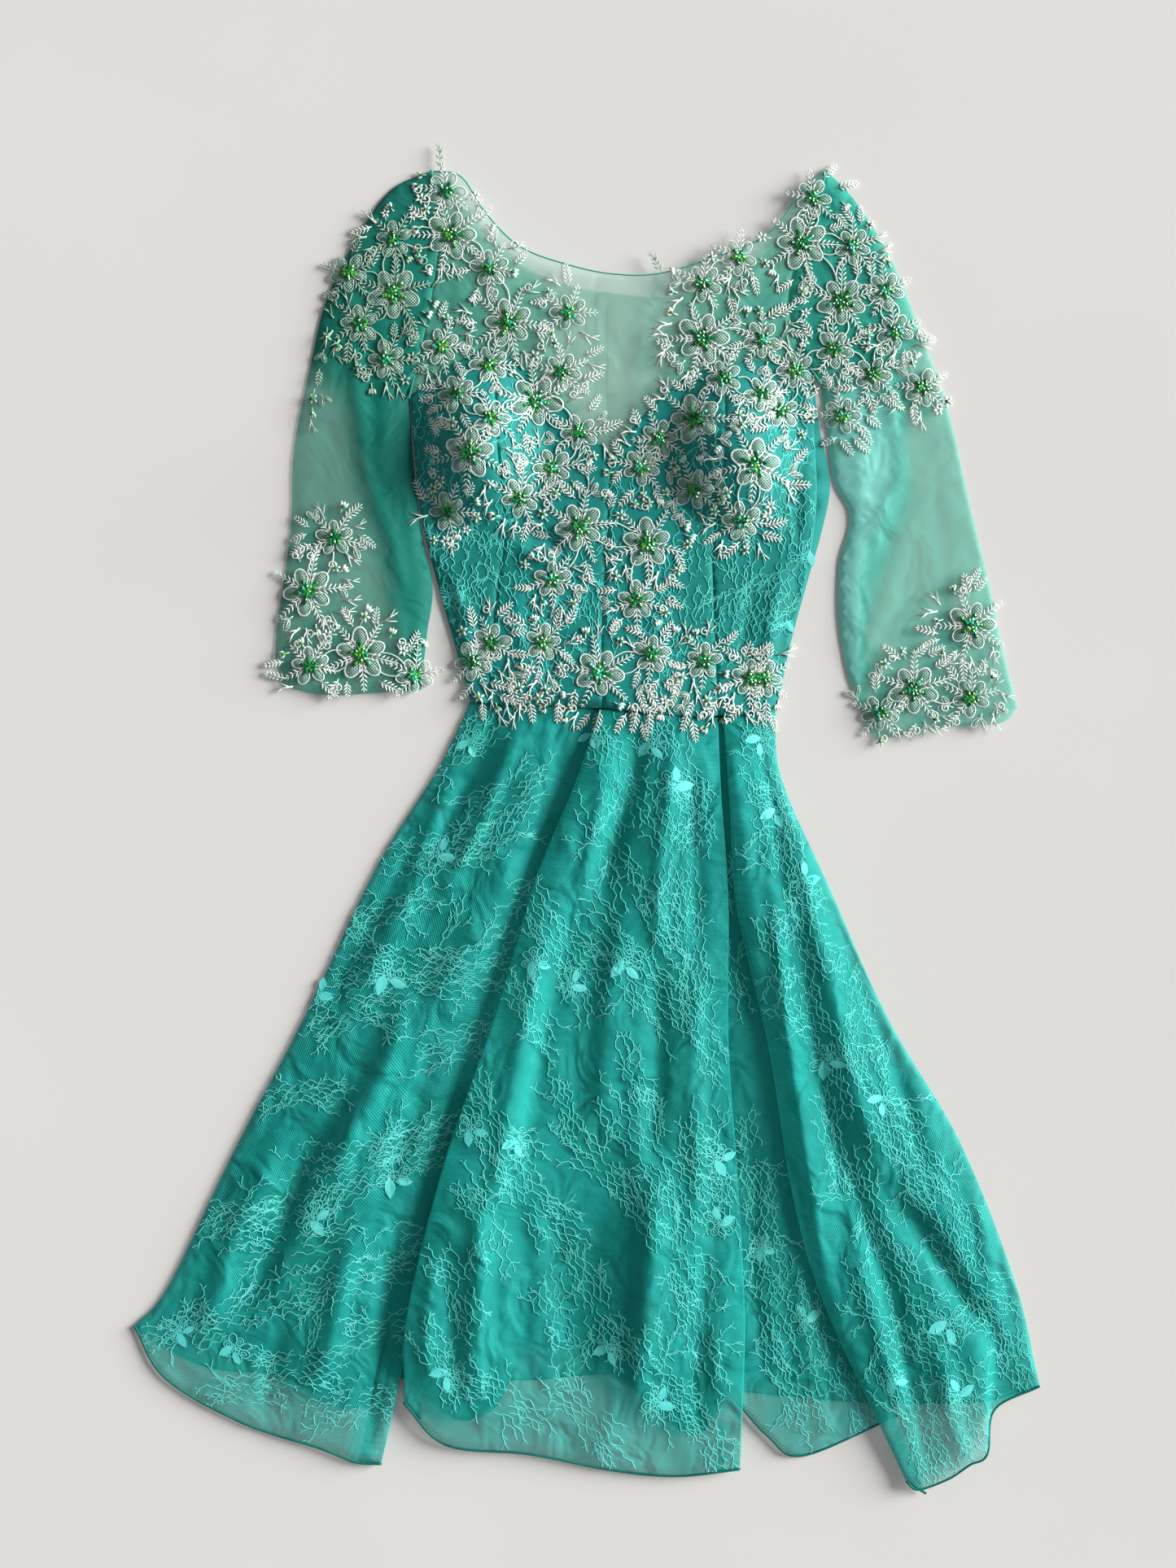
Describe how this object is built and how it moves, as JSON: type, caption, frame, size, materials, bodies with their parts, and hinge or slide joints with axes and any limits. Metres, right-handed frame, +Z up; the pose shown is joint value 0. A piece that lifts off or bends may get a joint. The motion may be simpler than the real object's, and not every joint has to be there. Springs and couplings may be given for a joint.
{
  "type": "embroidered party dress laid flat",
  "caption": "Knee-length lace party dress laid flat, with sheer yoke and three-quarter sleeves, moulded cups, applique flowers and a pleated flared skirt.",
  "frame": {"origin": "on the resting surface, under the middle of the garment's bounding box", "axes": "+Y from the hem to the neck, +X to the right seen from above the front, +Z up out of the surface"},
  "size_m": [0.778, 1.1608, 0.0369],
  "materials": {
    "lace": "teal net with aqua embroidered threads, softly shiny",
    "lining": "opaque teal satin lining",
    "organza": "sheer pale green organza with a soft sheen",
    "applique": "matt corded cotton lace in very pale green",
    "beads": "faceted green glass beads, some with a turquoise coating"
  },
  "bodies": {
    "root": {"skirt_back": "lace", "skirt_lining": "lining", "skirt_front_left": "lace", "skirt_front_centre": "lace", "skirt_front_inset": "lace", "skirt_front_right": "lace", "side_front_left": "lace", "front_centre_left": "lace", "front_centre_right": "lace", "side_front_right": "lace", "bodice_back_left": "lace", "bodice_back_right": "lace", "yoke_back_left": "organza", "yoke_back_right": "organza", "back_zip": "lining", "yoke_front": "organza", "waist_applique": "applique", "sleeve_left": "organza", "sleeve_right": "organza", "sprig_shoulder": "applique", "sprig_neck": "applique"}
  },
  "joints": []
}
